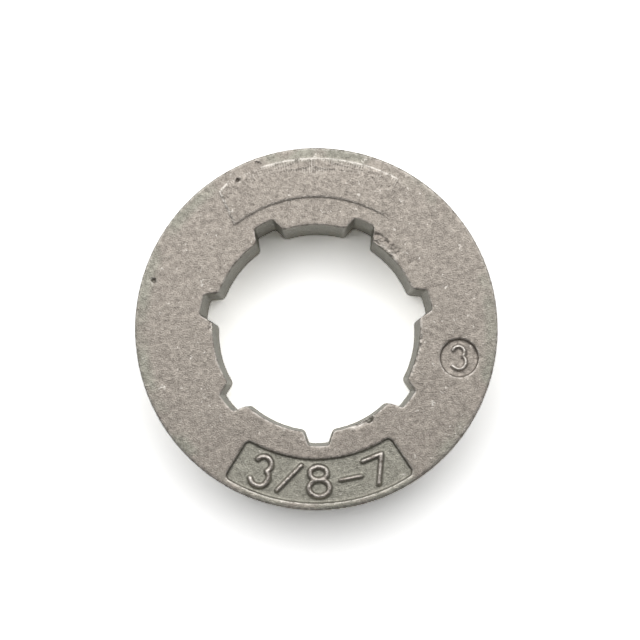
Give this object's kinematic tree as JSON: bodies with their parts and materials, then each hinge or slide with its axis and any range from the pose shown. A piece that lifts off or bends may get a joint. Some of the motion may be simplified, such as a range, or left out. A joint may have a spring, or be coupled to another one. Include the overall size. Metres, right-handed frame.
{
  "type": "clutch drum rim sprocket",
  "caption": "Cast steel rim sprocket: a ring with a splined bore that floats on a clutch drum's hub and drives a saw chain in pockets around its outside.",
  "frame": {"origin": "on the bore's axis, in the plane of the plain lower face", "axes": "+Z along the bore's axis towards the marked face, -Y through the middle of one spline groove and of the size panel"},
  "size_m": [0.0364, 0.0364, 0.0127],
  "materials": {
    "cast_steel": "investment cast and tumbled, matt warm grey"
  },
  "bodies": {
    "root": {"rim_sprocket": "cast_steel"}
  },
  "joints": []
}
